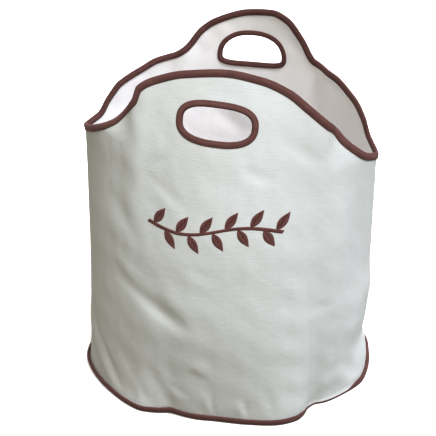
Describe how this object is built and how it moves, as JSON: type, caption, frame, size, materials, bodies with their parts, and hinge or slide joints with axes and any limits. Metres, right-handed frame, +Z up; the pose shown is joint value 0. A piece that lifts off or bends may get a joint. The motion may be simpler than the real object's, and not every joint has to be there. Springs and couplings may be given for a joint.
{
  "type": "laundry bag",
  "caption": "Soft free-standing oval laundry bag of lined canvas with bound edges and two arched handle flaps with hand slots.",
  "frame": {"origin": "centre of the oval base, on the surface the bag stands on", "axes": "+Z up towards the handles, +X along the long axis of the base to the bag's right seen from the front, -Y out of the front panel"},
  "size_m": [0.48, 0.384, 0.5479],
  "materials": {
    "canvas": "matt plain-weave cotton canvas, off-white",
    "lining": "smooth plain-weave lining, off-white",
    "tape": "ribbed dark brown bias tape",
    "thread": "dark brown sewing thread",
    "embroidery": "reddish brown satin stitch with a soft sheen"
  },
  "bodies": {
    "bag": {"base_panel": "canvas", "base_lining": "lining", "base_tape": "tape", "base_stitches": "thread", "front_panel": "canvas", "front_lining": "lining", "front_bend": "canvas", "front_bend_tape": "tape", "front_rim_tape_left": "tape", "front_rim_tape_right": "tape", "front_rim_stitches": "thread", "back_panel": "canvas", "back_lining": "lining", "back_bend": "canvas", "back_bend_tape": "tape", "back_rim_tape_left": "tape", "back_rim_tape_right": "tape", "back_rim_stitches": "thread", "left_seam_tape": "tape", "right_seam_tape": "tape", "embroidered_sprig": "embroidery"},
    "front_handle": {"front_handle_panel": "canvas", "front_handle_lining": "lining", "front_handle_rim_tape": "tape", "front_hand_slot_tape": "tape", "front_handle_stitches": "thread"},
    "back_handle": {"back_handle_panel": "canvas", "back_handle_lining": "lining", "back_handle_rim_tape": "tape", "back_hand_slot_tape": "tape", "back_handle_stitches": "thread"}
  },
  "joints": [
    {"name": "front_handle_bend", "type": "hinge", "parent": "bag", "child": "front_handle", "pos_m": [0, -0.112, 0.424], "axis": [-1, 0, 0], "range_deg": [-40, 45], "stiffness_Nm_per_rad": 1, "deforming": ["front_bend", "front_bend_tape"]},
    {"name": "back_handle_bend", "type": "hinge", "parent": "bag", "child": "back_handle", "pos_m": [0, 0.162, 0.424], "axis": [1, 0, 0], "range_deg": [-30, 45], "stiffness_Nm_per_rad": 1, "deforming": ["back_bend", "back_bend_tape"]}
  ]
}
